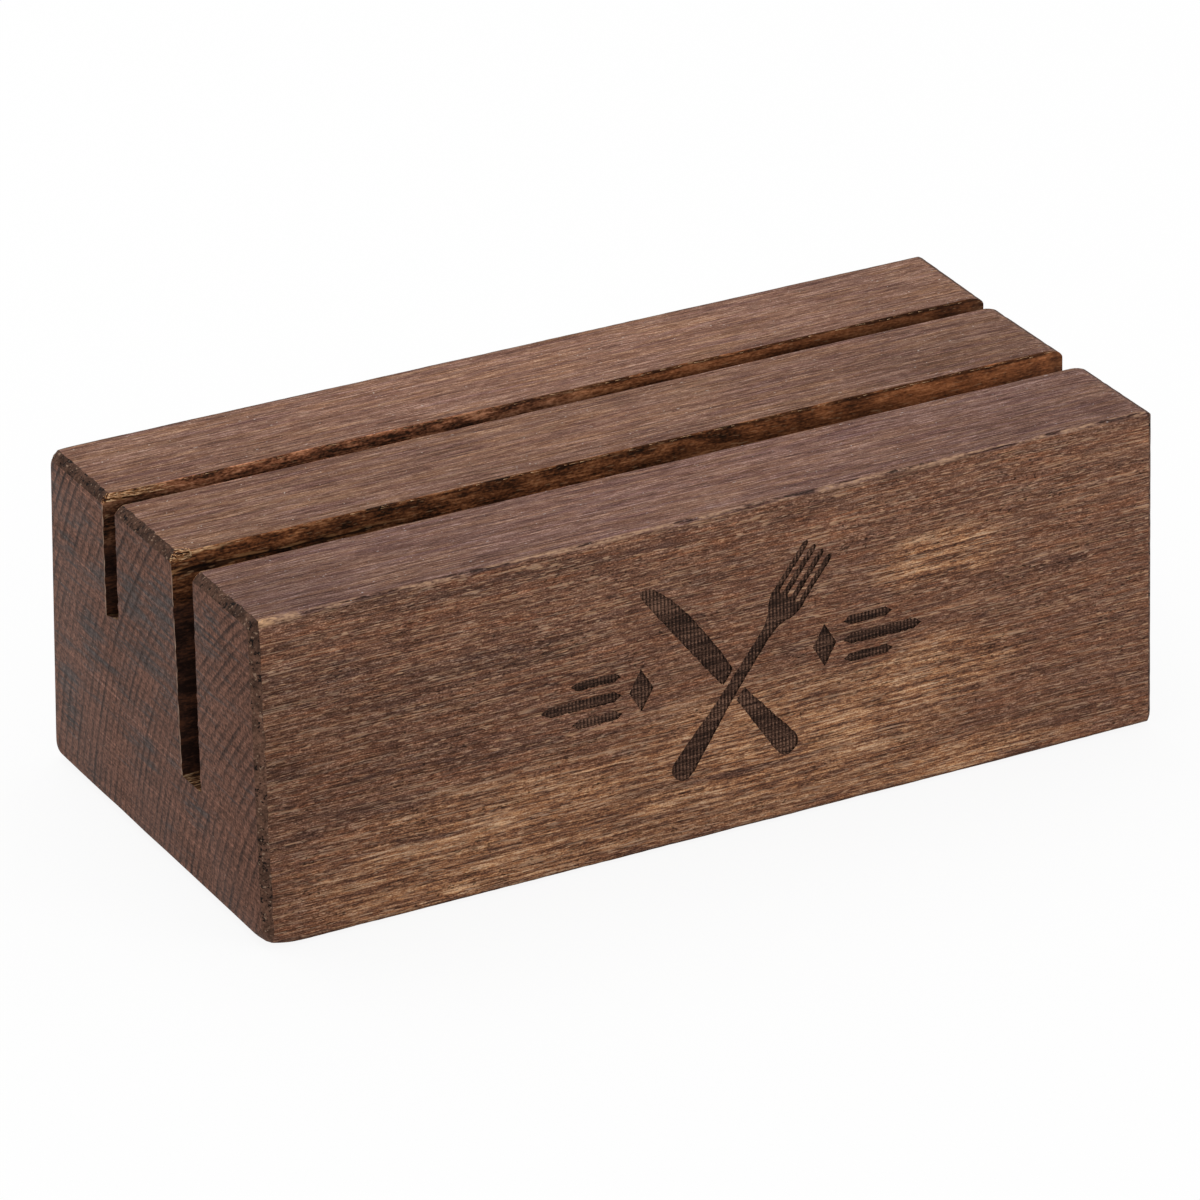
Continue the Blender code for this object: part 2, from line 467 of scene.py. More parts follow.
def soaked_wood():
    f = Finish("soaked_chamfer")
    cloud = f.stretch(f.noise(2.2, 6), 0.35, 0.65)
    f.colour = f.mix(cloud, (0.046, 0.024, 0.016), (0.098, 0.05, 0.033))
    speck = f.noise(0.45, 2, 2, 0.6)
    f.mottle(speck, 0.5, 1.5)
    f.scale(f.step(f.z, TOP_Z - 4, TOP_Z - 1.5, 1.35, 1))
    crowd = f.stretch(f.noise(5, 61, 1), 0.35, 0.65, 0.08, -0.03)
    pits = f.step(f.minus(f.noise(0.8, 33, 2, 0.7), crowd), 0.56, 0.64)
    f.lay((0.01, 0.007, 0.006), pits)
    f.lay((0.29, 0.19, 0.13), f.marks(0.55, 37, 0.61, 0.69, 2, 0.6), 0.8)
    f.lay(torn_colour(f), torn_corner(f))
    return f.done(0.65, f.minus(speck, pits), 0.15, 0.06)


def torn_corner(f):
    """1 where the saw tore raw timber out of the slot edges at the left end."""
    fray = f.noise((1.6, 0.5), 71, 2, 0.6)
    wide = f.times(f.step(f.x, -72.2, -73.2), f.near_line(FRONT_MOUTH[1], TOP_Z - 0.4, 1.7))
    slim = f.times(f.step(f.x, -65, -72), f.near_line(REAR_MOUTH[1], TOP_Z - 0.4, 1.5))
    return f.step(f.times(f.most(wide, slim), fray), 0.16, 0.3)


def torn_colour(f):
    return f.ramp(
        f.noise((1.8, 0.26), 4, 2, 0.6),
        (0.41, 0.018, 0.007, 0.004), (0.49, 0.095, 0.036, 0.013),
        (0.56, 0.31, 0.13, 0.047), (0.68, 0.9, 0.61, 0.35),
    )


# The chip's middle along x and over the lip, how far it reaches, and how steeply it runs into the slot
CHIP_MIDDLE = (-73.7, 0.3)
CHIP_REACH = (2.2, 1.4)
CHIP_SLANT = 0.45


def chip(f):
    """Lays on the chip at the left end of the front slot's rear lip: a raw hollow in a pale rim."""
    over = f.plus(f.minus(f.y, FRONT_MOUTH[1]), f.minus(f.z, TOP_Z))
    over = f.times_plus(f.minus(f.x, CHIP_MIDDLE[0]), CHIP_SLANT, over)
    over = f.times_plus(f.noise((0.9, 0.5), 73, 1), 0.5, f.minus(over, 0.25))
    inside = f.spot(f.x, over, CHIP_MIDDLE, CHIP_REACH)
    hollow = f.step(inside, 0.02, 0.12)
    shade = f.step(f.x, CHIP_MIDDLE[0] + 0.2, CHIP_MIDDLE[0] + 1.2, 1, 0.4)
    f.lay(f.scaled(torn_colour(f), shade), hollow)
    broken = f.marks((0.8, 0.4), 79, 0.38, 0.54, 1)
    f.lay((0.72, 0.46, 0.25), hollow, f.step(inside, 0.45, 0.15), broken, 0.9)


def slot_wood():
    f = Finish("sawn_slot")
    depth = f.minus(TOP_Z, f.z)
    rear = f.step(f.y, 0, 4)
    tear = f.noise((4.5, 0.34), 7, 2, 0.6)
    tone = f.times(f.noise((9, 2.6), 3, 2, 0.6), 1.8)
    tone = f.plus(f.times_plus(tear, 1.1, tone), f.noise((0.7, 0.32), 9, 1, 0.6))
    tone = f.times_plus(f.minus(tone, 1.95), f.stretch(f.x, -10, 45, 1.1, 0.6), 0.5)
    f.colour = f.ramp(
        tone,
        (0.1, 0.017, 0.007, 0.003), (0.35, 0.074, 0.0245, 0.0095),
        (0.6, 0.182, 0.064, 0.024), (1, 0.41, 0.175, 0.075),
    )
    front_tint = f.combine(*[f.stretch(f.x, -20, 60, 0.92, 1.85)] * 3)
    rear_tint = f.mix(f.step(f.x, -5, 10), (1.48, 1.64, 2.1), (1.5, 1.5, 1.55))
    f.dye(f.mix(rear, front_tint, rear_tint))
    end = slot_end(f, tone, depth, rear)
    # Painted light and shade on the slots' walls
    f.scale(slot_painted_light(f, depth, rear))
    # Painted shade: darker deeper down in the slots
    f.scale(f.step(depth, 9, 1.5, 0.26, 1))
    # The left ends of the walls, in their own colour with painted shade
    f.lay(end, f.step(f.x, -60, -70))
    f.scale(f.step(f.x, RIGHT_END - 3.5, RIGHT_END - 1, 1, 0.5))
    # Painted shade: a broken dark line just under the lips, from x -30 rightwards
    lip = f.times(f.step(depth, 0.7, 0.4), f.step(f.x, -30, 10))
    f.fade(f.times(lip, f.marks((5, 0.6), 31, 0.36, 0.5, 2)), 1, 0.3)
    saw_step(f)
    pale = f.marks((1.6, 0.24), 25, 0.7, 0.78)
    f.lay((0.37, 0.215, 0.115), pale, f.step(depth, 6, 3, 0, 0.5))
    worn = f.times(f.step(depth, 0.75, 0.45), f.step(f.x, -64, -69))
    f.lay((0.6, 0.35, 0.18), worn, f.marks((1.6, 0.3), 27, 0.36, 0.56, 1), 0.85)
    front_floor = f.near(f.z, FRONT_FLOOR_Z, 0.25, 0.05)
    rear_floor = f.times(f.near(f.z, REAR_FLOOR_Z, 0.25, 0.05), f.step(f.y, 2, 6))
    torn = f.scaled(torn_colour(f), f.stretch(rear, 0, 1, 0.5, 0.3))
    f.lay(torn, f.most(front_floor, rear_floor), f.step(f.x, -62, -73))
    f.lay(torn_colour(f), torn_corner(f))
    chip(f)
    return f.done(0.7, tear, 0.15, 0.08)


def slot_painted_light(f, depth, rear):
    """Painted light and shade on the slots' walls: the front one is uneven lower down and lit near the left
    end; the rear one is lighter towards the left, darker towards the right and darker deeper down.
    """
    low = f.plus(f.step(f.x, -40, -30, -0.25, 0.3), f.step(f.x, -8, 4, 0, -0.6))
    low = f.plus(low, f.step(f.x, 40, 55, 0, 0.25))
    lit = f.times(f.step(depth, 2.6, 1.6), f.step(f.x, -48, -62, 0, 0.6))
    front = f.plus(f.times_plus(f.step(depth, 1.6, 3), low, 1), lit)
    back = f.times(f.step(f.x, -25, 0, 1.3, 1), f.step(f.x, 36, 52, 1, 0.78))
    back = f.times(f.step(depth, 2.3, 0.6, 0.55, 1.05), back)
    return f.stretch(rear, 0, 1, front, back)


def slot_end(f, tone, depth, rear):
    """The slots' colour at the left end, with painted shade: lighter near the top, darker lower down, darkest
    below about 8 mm, and darker in the rear slot.
    """
    dim = f.ramp(
        tone,
        (0.2, 0.014, 0.006, 0.004), (0.5, 0.036, 0.0145, 0.009),
        (0.9, 0.09, 0.033, 0.016),
    )
    light = f.times(f.stretch(rear, 0, 1, 1, 0.55), f.step(depth, 2, 1, 0.66, 1.15))
    return f.mix(f.step(depth, 7.2, 8.6), f.scaled(f.colour, light), dim)


def saw_step(f):
    """Lays on the step that two passes of the saw left along the front slot, near the left end: a painted
    shadow line along it and a painted highlight just above.
    """
    level = f.stretch(f.noise((7, 1), 15, 1), 0.3, 0.7, TOP_Z - 3.4, TOP_Z - 2.6)
    above = f.minus(f.z, level)
    near = f.times(f.step(f.x, -34, -46), f.step(f.y, 2, -2))
    f.fade(f.times(f.near(above, 0, 0.4, 0.15), near), 1, 0.2)
    broken = f.marks((2.5, 0.5), 21, 0.42, 0.58, 1)
    f.lay((0.3, 0.15, 0.062), f.near(above, 0.45, 0.25, 0.08), broken, near, 0.7)


def burnt_wood():
    f = Finish("burnt_engraving")
    grain = Grain(f)
    f.colour = f.ramp(
        grain.tone(0.9, 0.33, 0.33, 0.29, 1.2, 0.9),
        (0, 0.02, 0.011, 0.008), (0.5, 0.06, 0.031, 0.021),
        (1, 0.165, 0.09, 0.06),
    )
    raster = f.math("SINE", f.times(f.x, FULL_TURN / RASTER_PITCH))
    f.scale(f.stretch(raster, -1, 1, 0.45, 1.35))
    return f.done(0.8, grain.dashes, 0.016, 0.06)


def raw_wood():
    f = Finish("torn_fibres")
    tone = f.noise((1.2, 0.3), 4)
    f.colour = f.ramp(
        tone,
        (0.33, 0.07, 0.026, 0.011), (0.46, 0.38, 0.17, 0.068),
        (0.6, 0.8, 0.52, 0.29),
    )
    return f.done(0.7, tone, 0.05, 0.12)


def rubber():
    f = Finish("moulded_rubber")
    speck = f.noise(0.35, 1)
    f.colour = f.ramp(speck, (0.3, 0.016, 0.014, 0.013), (0.7, 0.03, 0.027, 0.025))
    return f.done(f.stretch(speck, 0.3, 0.7, 0.7, 0.9), speck, 0.02)


# The faces round the block's outline in the YZ plane, from the front up and round: finish, rows of points
FACES = (
    ("side", 40), ("top", 22), ("slot", 36), ("slot", 2), ("slot", 36), ("top", 22),
    ("slot", 20), ("slot", 2), ("slot", 20), ("top", 22), ("side", 16), ("side", 10),
)
FACE_MARGIN = 0.3
# How far the long outer edges are eased, the slot edges broken and the slot floors filleted
TOP_EASE = 0.55
BACK_EASE = 1
BASE_EASE = 0.35
SLOT_EASE = 0.16
FLOOR_FILLET = 0.25
LEAST_EASE = 0.06
# The ease of the corner before each face, and the steps that it is drawn in
SLOT_EASES = (SLOT_EASE, FLOOR_FILLET, FLOOR_FILLET, SLOT_EASE)
EASES = (BASE_EASE, TOP_EASE, *SLOT_EASES, *SLOT_EASES, BACK_EASE, BASE_EASE)
EASE_STEPS = (5, 5, 3, 2, 2, 3, 3, 2, 2, 3, 5, 5)
# Unevenness of the long edges: length along x, shift from corner to corner, layer and amount
RIPPLES = ((7, 3.7, 0, 0.45), (1.6, 5.3, 4, 0.25))
FRONT_BASE = 0
BACK_TOP = 10
BACK_RIPPLE = 0.3
# Extra softening of a long edge at the left end: corner number, amount, length
SOFT_ENDS = {0: (3.2, 6), 1: (-0.4, 6), 5: (0.7, 3), 9: (0.35, 9), 10: (0.9, 4), 11: (1.7, 5)}
# And of the front's lower edge at the right end: amount, length
RIGHT_SOFTENING = (0.4, 26)
# The corners whose ease shrinks as the end chamfers close in, by this share of the top's inset, to no less
NARROWED = (1, 10)
NARROWING = 0.7
NARROWEST = 0.12
# The top, but for its back edge, is sanded lower towards the right end, from here on.
DROOP_START = 72
DROOP = 0.45
# At the left end the saw left the rear slot's floor higher on its front side: amount, length
FLOOR_RAISE = (1.05, 3)
# Where the outline is drawn along the flat part of the block: how far in from the ends, how many times
STATION_INSET = 1.5
STATION_COUNT = 210


def between(low, high, share):
    return low + (high - low) * share


def droop(x):
    share = (x - DROOP_START) / (RIGHT_END - RIGHT_CHAMFER[0] - DROOP_START)
    return DROOP * min(max(share, 0), 1) ** 2


def floor_raise(x):
    amount, length = FLOOR_RAISE
    return amount * max(0, 1 - (x - LEFT_END) / length)


def outline_corners(x, insets):
    """The corners of the block's outline at x, with its top, front, back and base moved in."""
    top_in, front_in, back_in, base_in = insets
    back_top = TOP_Z - top_in
    top = back_top - droop(x)
    base = BASE_Z + base_in

    def half_depth(z):
        return between(BASE_HALF_DEPTH, TOP_HALF_DEPTH, (z - BASE_Z) / (TOP_Z - BASE_Z))

    rise = (top - FRONT_FLOOR_Z) / (TOP_Z - FRONT_FLOOR_Z)
    walls = [between(low, high, rise) for low, high in zip(FRONT_FLOOR, FRONT_MOUTH)]
    places = (
        (front_in - half_depth(base), base),
        (front_in - half_depth(top), top),
        (walls[0], top),
        (FRONT_FLOOR[0], FRONT_FLOOR_Z),
        (FRONT_FLOOR[1], FRONT_FLOOR_Z),
        (walls[1], top),
        (REAR_MOUTH[0], top),
        (REAR_MOUTH[0], REAR_FLOOR_Z + floor_raise(x)),
        (REAR_MOUTH[1], REAR_FLOOR_Z),
        (REAR_MOUTH[1], top),
        (half_depth(back_top) - back_in, back_top),
        (half_depth(base) - back_in, base),
    )
    return [Vector(place) for place in places]


def edge_wear(corner, x):
    """How far a long edge is eased at x: unevenly, and more towards the ends."""
    ripple = sum(
        amount * noise.noise(Vector((x / length, corner * shift, layer)))
        for length, shift, layer, amount in RIPPLES
    )
    ease = EASES[corner] * (1 + ripple * (BACK_RIPPLE if corner == BACK_TOP else 1))
    if corner in SOFT_ENDS:
        amount, length = SOFT_ENDS[corner]
        ease += amount * max(0, 1 - (x - LEFT_END) / length) ** 2
    if corner == FRONT_BASE:
        amount, length = RIGHT_SOFTENING
        ease += amount * max(0, 1 - (RIGHT_END - x) / length)
    return max(ease, LEAST_EASE)


def outline(x, insets=(0, 0, 0, 0)):
    """The points of the block's section at x, in order."""
    corners = outline_corners(x, insets)
    count = len(corners)
    arcs = []
    for i, corner in enumerate(corners):
        before = (corners[i - 1] - corner).normalized()
        after = (corners[(i + 1) % count] - corner).normalized()
        reach = edge_wear(i, x)
        if i in NARROWED:
            reach = max(reach - NARROWING * insets[0], NARROWEST)
        start, end = corner + before * reach, corner + after * reach
        steps = EASE_STEPS[i]
        arcs.append([
            start * (1 - t) ** 2 + corner * 2 * t * (1 - t) + end * t**2
            for t in (k / steps for k in range(steps + 1))
        ])
    points = []
    for i, (_, rows) in enumerate(FACES):
        points += arcs[i]
        start, end = arcs[i][-1], arcs[(i + 1) % count][0]
        margin = FACE_MARGIN / (end - start).length
        shares = [between(margin, 1 - margin, k / (rows - 1)) for k in range(rows)]
        points += [start.lerp(end, share) for share in shares]
    return [Vector((x, *point)) for point in points]


def outline_kinds():
    """The finish of the strip that starts at each outline point."""
    kinds = []
    for i, (kind, rows) in enumerate(FACES):
        nearby = (kind, FACES[i - 1][0])
        edge = next((finish for finish in ("slot", "top") if finish in nearby), kind)
        kinds += [edge] * EASE_STEPS[i] + [kind] * (rows + 1)
    return kinds


CHAMFER_STEPS = (0, 0.25, 0.5, 0.75, 1)
# How deep the chamfers' pits are and how far their edges wander, at the rougher left end and at the right
CHAMFER_PITS = {-1: 0.4, 1: 0.1}
CHAMFER_FRAY = {-1: 0.3, 1: 0.06}
PIT_LENGTH = 0.9
PIT_LIMIT = 0.1
# How far the saw left the slot edges ragged in the end faces
SLOT_FRAY = {-1: 0.32, 1: 0.12}
# The pits leave out the block's lowest edge.
PIT_FREE_HEIGHT = 2


def rough(point, side, t, kind):
    """A chamfer's point, moved in where a pit lies and along where the chamfer starts late or early."""
    if kind == "slot":
        fray = noise.noise(Vector((point.y * 0.3, point.z / PIT_LENGTH, side * 3)))
        return point + Vector((0, fray * SLOT_FRAY[side] * t, 0))
    where = Vector((point.y / PIT_LENGTH, point.z / PIT_LENGTH, side * 7))
    pit = max(0, noise.noise(where + Vector((0, 0, t * 1.3))) - PIT_LIMIT)
    pit *= 4 * t * (1 - t) * CHAMFER_PITS[side]
    shift = noise.noise(where * 0.8 + Vector((9, 0, 0))) * (1 - t) * CHAMFER_FRAY[side]
    moved = point - Vector((side * (pit + shift), 0, 0))
    if kind == "top":
        moved.z -= pit
    elif point.z > BASE_Z + PIT_FREE_HEIGHT:
        moved.y -= math.copysign(pit, point.y)
    return moved


def chamfer_rows(side, widths):
    """The outlines that close one end, from the flat part to the end face."""
    rows = []
    kinds = outline_kinds()
    length, *insets = widths
    for t in CHAMFER_STEPS:
        turn = t * math.pi / 2
        run = between(1 - t, 1 - math.sin(turn), CHAMFER_ROUND) * length
        drop = between(t, 1 - math.cos(turn), CHAMFER_ROUND)
        x = LEFT_END + run if side < 0 else RIGHT_END - run
        points = outline(x, [inset * drop for inset in insets])
        rows.append([rough(point, side, t, kind) for point, kind in zip(points, kinds)])
    return rows


def object_from(name, shape, materials=()):
    """A mesh object from a bmesh in millimetres, which it uses up."""
    bmesh.ops.scale(shape, vec=(MM, MM, MM), verts=shape.verts)
    mesh = bpy.data.meshes.new(name)
    shape.to_mesh(mesh)
    shape.free()
    for material in materials:
        mesh.materials.append(material)
    obj = bpy.data.objects.new(name, mesh)
    COLLECTION.objects.link(obj)
    return obj


def discard(obj):
    mesh = obj.data
    bpy.data.objects.remove(obj, do_unlink=True)
    bpy.data.meshes.remove(mesh)


def settle(obj):
    """Makes the modified shape the object's own mesh."""
    graph = bpy.context.evaluated_depsgraph_get()
    mesh = bpy.data.meshes.new_from_object(obj.evaluated_get(graph), depsgraph=graph)
    old = obj.data
    obj.modifiers.clear()
    obj.data = mesh
    mesh.name = obj.name
    bpy.data.meshes.remove(old)


def soften(obj, angle):
    obj.data.shade_smooth()
    obj.data.set_sharp_from_angle(angle=math.radians(angle))


def combine_with(obj, other, operation):
    """Cuts the other solid out of the object, or keeps what they share, and drops the other."""
    made = obj.modifiers.new("Cut", "BOOLEAN")
    made.operation = operation
    made.solver = "EXACT"
    made.material_mode = "TRANSFER"
    made.object = other
    settle(obj)
    discard(other)


def prism(points, low, high, place):
    """A closed prism over a flat outline. place turns (u, v, height) into a point."""
    shape = bmesh.new()
    lower = [shape.verts.new(place(u, v, low)) for u, v in points]
    upper = [shape.verts.new(place(u, v, high)) for u, v in points]
    shape.faces.new(lower)
    shape.faces.new(upper)
    for i in range(len(points)):
        k = (i + 1) % len(points)
        shape.faces.new((lower[i], lower[k], upper[k], upper[i]))
    bmesh.ops.recalc_face_normals(shape, faces=shape.faces)
    return shape


def close_end(shape, ring, turned, material_index):
    """Fills the outline at one end of the block."""
    flat = [Vector((vert.co.y, vert.co.z)) for vert in ring]
    loop = list(range(len(ring)))
    _, _, triangles, origins, _, _ = geometry.delaunay_2d_cdt(flat, [], [loop], 1, 1e-6)
    for triangle in triangles:
        face = shape.faces.new([ring[origins[k][0]] for k in triangle])
        face.normal_update()
        if (face.normal.x > 0) != turned:
            face.normal_flip()
        face.material_index = material_index


def block_body(finishes):
    order = list(finishes)
    kinds = outline_kinds()
    rows = list(reversed(chamfer_rows(-1, LEFT_CHAMFER)))
    for k in range(STATION_COUNT + 1):
        x = between(LEFT_END + STATION_INSET, RIGHT_END - STATION_INSET, k / STATION_COUNT)
        rows.append(outline(x))
    rows += chamfer_rows(1, RIGHT_CHAMFER)
    shape = bmesh.new()
    grid = [[shape.verts.new(point) for point in row] for row in rows]
    count = len(kinds)
    chamfer = len(CHAMFER_STEPS) - 1
    last = len(grid) - 1
    for i in range(last):
        at_end = i < chamfer or i >= last - chamfer
        for j in range(count):
            k = (j + 1) % count
            kind = kinds[j]
            if at_end and kind in ("top", "side"):
                kind = "soaked"
            face = shape.faces.new((grid[i][j], grid[i + 1][j], grid[i + 1][k], grid[i][k]))
            face.material_index = order.index(kind)
    for ring, turned in ((grid[0], False), (grid[-1], True)):
        close_end(shape, ring, turned, order.index("end"))
    return object_from("slotted_block_wood", shape, finishes.values())


def circle(x, y, radius):
    turns = [FULL_TURN * k / ROUND_STEPS for k in range(ROUND_STEPS)]
    return [(x + radius * math.cos(a), y + radius * math.sin(a)) for a in turns]


# How far a cutter runs out of the face that it opens
CUTTER_RUN = 2


def cut_foot_seats(block, wood):
    for x, y in FEET.values():
        ring = circle(x, y, SEAT_RADIUS)
        shape = prism(ring, BASE_Z - CUTTER_RUN, BASE_Z + SEAT_DEPTH, lambda *place: Vector(place))
        combine_with(block, object_from("foot_seat", shape, [wood]), "DIFFERENCE")


# A foot's section, as radius and height: a flat tread ring round a shallow dish, with rounded rims
FOOT_PROFILE = (
    (0, 0.35), (3.4, 0.35), (3.7, 0.3), (3.9, 0.1), (4.1, 0), (5.55, 0), (5.75, 0.06),
    (5.94, 0.22), (FOOT_RADIUS, 0.45), (FOOT_RADIUS, 1.45), (5.94, 1.65), (5.75, 1.75),
    (5.5, FOOT_HEIGHT), (0, FOOT_HEIGHT),
)


def rubber_foot(name, x, y, material):
    """A moulded disc."""
    shape = bmesh.new()
    rings = []
    for radius, z in FOOT_PROFILE:
        places = circle(x, y, radius) if radius else [(x, y)]
        rings.append([shape.verts.new((u, v, z)) for u, v in places])
    for lower, upper in zip(rings, rings[1:]):
        for k in range(ROUND_STEPS):
            n = (k + 1) % ROUND_STEPS
            if len(lower) == 1:
                shape.faces.new((lower[0], upper[n], upper[k]))
            elif len(upper) == 1:
                shape.faces.new((lower[k], lower[n], upper[0]))
            else:
                shape.faces.new((lower[k], lower[n], upper[n], upper[k]))
    bmesh.ops.recalc_face_normals(shape, faces=shape.faces)
    foot = object_from(name + "_rubber", shape, [material])
    soften(foot, 35)
    return foot


# The engraved cutlery: its middle on the front face, and lengths along each tool from the foot of its handle
MOTIF_MIDDLE = (2.5, 23)
MOTIF_TILT = 38
TOOL_LENGTH = 40
CROSSING = 16
CROSSING_GAP = 0.6
HANDLE = ((0, 0), (0.15, 0.9), (0.7, 1.55), (1.8, 1.9), (5, 1.75), (11, 1.3), (17, 1))
FORK_NECK = ((22, 0.95), (25.5, 1), (27.5, 1.5), (29, 2.45), (30.4, 2.95))
TINE_WIDTH = 0.95
TINE_PITCH = 1.65
TINE_ROOT = 31.2
TINE_COUNT = 4
KNIFE_EDGE = (
    (18, 1.1), (18.6, 1.7), (22, 2.1), (27, 2.35), (32, 2.3), (36, 1.75), (38.6, 0.9), (40, -0.6),
)
KNIFE_BACK = ((39.2, -1.1), (36, -1.25), (28, -1.25), (18.6, -1.2), (18, -1))
# Where the fork's handle covers the knife: along the fork, and half its width there
LAP = ((2, 1.35), (24, 1))
# The dividers beside the cutlery: how far up from its middle they lie, and their places and sizes
DIVIDER_RISE = 3
DIAMOND = (15.4, 2, 3.4)
RULES = ((18.6, 32, 0, 1.7), (18.6, 27, 3, 1.4), (18.6, 27, -3, 1.4))
# The burning beam's work: how deep it cuts, and the ridges and small steps that its passes leave
ENGRAVED_DEPTH = 0.3
RASTER_RELIEF = 0.07
RASTER_PITCH = 0.6
RASTER_HALF_WIDTH = 40
RASTER_ROWS = (2, 49)
BEAM_STEP = 0.2
# Half the height of the solids that cut the motif, and of the one that cuts the knife
ENGRAVER_HALF = 1.5
LAP_HALF = 2.5


def front_place(u, v, height):
    """A point over the sloping front face: u along it, v up it, height out of it."""
    slope = Vector((0, BASE_HALF_DEPTH - TOP_HALF_DEPTH, TOP_Z - BASE_Z)).normalized()
    outward = Vector((0, -slope.z, slope.y))
    return Vector((u, -BASE_HALF_DEPTH, BASE_Z)) + slope * v + outward * height


def smooth(points, steps=4):
    """A flowing line through the points."""
    line = []
    for i in range(len(points) - 1):
        p = [Vector(points[max(0, min(len(points) - 1, i + k))]) for k in (-1, 0, 1, 2)]
        for k in range(steps):
            t = k / steps
            line.append(
                0.5 * (2 * p[1] + (p[2] - p[0]) * t + (2 * p[0] - 5 * p[1] + 4 * p[2] - p[3]) * t**2
                + (3 * p[1] - p[0] - 3 * p[2] + p[3]) * t**3)
            )
    line.append(Vector(points[-1]))
    return [(point.x, point.y) for point in line]


def mirrored(line):
    return [(along, -across) for along, across in reversed(line)]


def fork_outline():
    side = smooth(HANDLE + FORK_NECK)
    half = TINE_WIDTH / 2
    tip = [(TOOL_LENGTH - 1, half), (TOOL_LENGTH - 0.3, half * 0.7), (TOOL_LENGTH, 0)]
    tines = []
    for i in range(TINE_COUNT):
        middle = TINE_PITCH * ((TINE_COUNT - 1) / 2 - i)
        tines += [(along, middle + across) for along, across in tip + mirrored(tip)[1:]]
        if i < TINE_COUNT - 1:
            gap = middle - TINE_PITCH / 2
            rest = TINE_PITCH / 2 - half
            tines += [(TINE_ROOT + 0.4, gap + rest), (TINE_ROOT, gap), (TINE_ROOT + 0.4, gap - rest)]
    return side + tines + mirrored(side)[:-1]


def knife_outline():
    return smooth(HANDLE + KNIFE_EDGE) + smooth(KNIFE_BACK) + mirrored(smooth(HANDLE))[:-1]


def laid(points, tilt):
    """An outline turned about the crossing and set on the front."""
    turn = math.radians(tilt)
    u, v = MOTIF_MIDDLE
    return [
        (
            u + (along - CROSSING) * math.sin(turn) + across * math.cos(turn),
            v + (along - CROSSING) * math.cos(turn) - across * math.sin(turn),
        )
        for along, across in points
    ]


def rule(start, end, v, thick):
    """A straight bar with pointed ends."""
    point = math.copysign(thick * 0.8, end - start)
    return [
        (start, v), (start + point, v - thick / 2), (end - point, v - thick / 2),
        (end, v), (end - point, v + thick / 2), (start + point, v + thick / 2),
    ]


def divider(side):
    """A diamond and rules on one side of the cutlery."""
    u, v = MOTIF_MIDDLE[0], MOTIF_MIDDLE[1] + DIVIDER_RISE
    out, wide, high = DIAMOND
    middle = u + side * out
    diamond = [(middle - wide, v), (middle, v - high), (middle + wide, v), (middle, v + high)]
    rules = [rule(u + side * start, u + side * end, v + up, thick) for start, end, up, thick in RULES]
    return [diamond, *rules]


def ragged(points):
    """An outline with the small steps that a burning beam leaves, one to each pass up the face."""
    made = []
    for i, start in enumerate(points):
        start, end = Vector(start), Vector(points[(i + 1) % len(points)])
        count = max(1, round((end - start).length / (RASTER_PITCH / 2)))
        for k in range(count):
            u, v = start.lerp(end, k / count)
            beam = noise.noise(Vector((round(u / RASTER_PITCH) * 3.1, v / 2, 0)))
            made.append((u, v + BEAM_STEP * beam))
    return made


def raster_slab():
    """The room over the engraving's ridged floor."""
    left, right = MOTIF_MIDDLE[0] - RASTER_HALF_WIDTH, MOTIF_MIDDLE[0] + RASTER_HALF_WIDTH
    count = int((right - left) / RASTER_PITCH * 4)
    profile = []
    for k in range(count + 1):
        u = between(left, right, k / count)
        profile.append((u, -ENGRAVED_DEPTH + RASTER_RELIEF * math.sin(FULL_TURN * u / RASTER_PITCH)))
    profile += [(right, CUTTER_RUN), (left, CUTTER_RUN)]
    return prism(profile, *RASTER_ROWS, lambda u, height, v: front_place(u, v, height))


def engrave(block, burnt):
    def cutter_from(name, points, half):
        return object_from(name, prism(points, -half, half, front_place), [burnt])

    fork = ragged(laid(fork_outline(), MOTIF_TILT))
    knife = ragged(laid(knife_outline(), -MOTIF_TILT))
    lower = [(along, -across - CROSSING_GAP) for along, across in LAP]
    lap = laid(lower + mirrored(lower), MOTIF_TILT)
    cutter = cutter_from("knife_cutter", knife, ENGRAVER_HALF)
    combine_with(cutter, cutter_from("lap_cutter", lap, LAP_HALF), "DIFFERENCE")
    shape = bmesh.new()
    shape.from_mesh(cutter.data)
    for points in [fork, *map(ragged, divider(-1) + divider(1))]:
        more = cutter_from("motif_cutter", points, ENGRAVER_HALF)
        shape.from_mesh(more.data)
        discard(more)
    shape.to_mesh(cutter.data)
    shape.free()
    combine_with(cutter, object_from("raster_room", raster_slab(), [burnt]), "INTERSECT")
    combine_with(block, cutter, "DIFFERENCE")


def growth(name, kinds):
    """A geometry node tree that grows a mesh along lines, with its own inputs, and what those are called."""
    tree = bpy.data.node_groups.new(name, "GeometryNodeTree")
    tree.interface.new_socket("Geometry", in_out="INPUT", socket_type="NodeSocketGeometry")
    keys = {}
    for key, kind in kinds.items():
        socket = tree.interface.new_socket(key, in_out="INPUT", socket_type="NodeSocket" + kind)
        keys[key] = socket.identifier
    tree.interface.new_socket("Geometry", in_out="OUTPUT", socket_type="NodeSocketGeometry")
    n = Nodes(tree)
    given = n.node("NodeGroupInput").outputs
    line = n.node("GeometryNodeMeshToCurve", given["Geometry"]).outputs["Curve"]
    return n, keys, given, line


def coat(n, shape, material):
    """Ends a geometry node tree: one mesh, in one material."""
    whole = n.node("GeometryNodeRealizeInstances", shape).outputs[0]
    coated = n.node("GeometryNodeSetMaterial", whole, named={"Material": material})
    n.node("NodeGroupOutput", coated.outputs[0])


